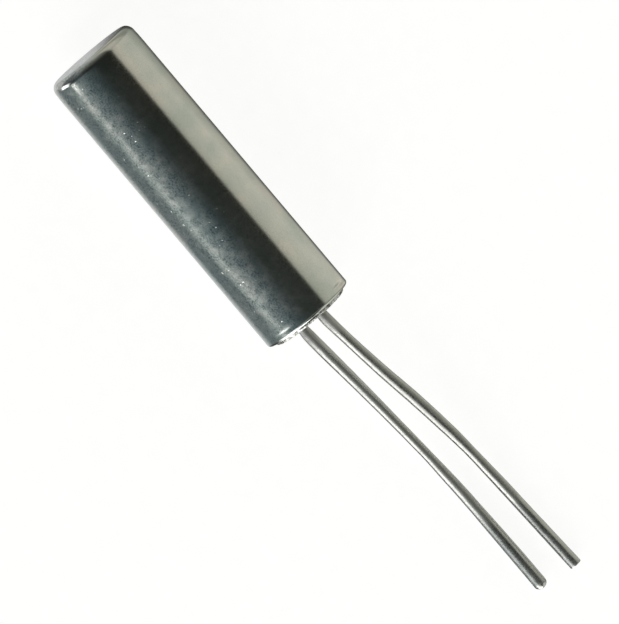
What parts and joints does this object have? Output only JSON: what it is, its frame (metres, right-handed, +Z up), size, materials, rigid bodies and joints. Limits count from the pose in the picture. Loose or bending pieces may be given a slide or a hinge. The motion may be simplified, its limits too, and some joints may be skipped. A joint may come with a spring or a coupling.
{
  "type": "crystal oscillator",
  "caption": "Quartz crystal unit in a round drawn metal can with a closed end; long bent wire leads leave the glass-sealed base.",
  "frame": {"origin": "on the can's axis, in the outer face of the base ring, where the unit seats on a board", "axes": "+X along the can's axis, out of the base towards the lead tips; +Z up, with the can and the lead tips lying on the surface below"},
  "size_m": [0.021, 0.003, 0.003],
  "materials": {
    "can_metal": "bright nickel plate on drawn nickel silver, finely scratched",
    "ring_metal": "tin-plated iron-nickel-cobalt ring",
    "seal_glass": "fused dark sealing glass",
    "lead_metal": "tinned iron-nickel-cobalt wire",
    "quartz": "lapped quartz",
    "electrode_film": "evaporated silver",
    "adhesive": "silver-filled epoxy"
  },
  "bodies": {
    "root": {"can": "can_metal", "base_ring": "ring_metal", "glass_seal": "seal_glass", "lead_a": "lead_metal", "lead_b": "lead_metal", "quartz_blank": "quartz", "electrode_front": "electrode_film", "electrode_back": "electrode_film", "adhesive_a": "adhesive", "adhesive_b": "adhesive"}
  },
  "joints": []
}
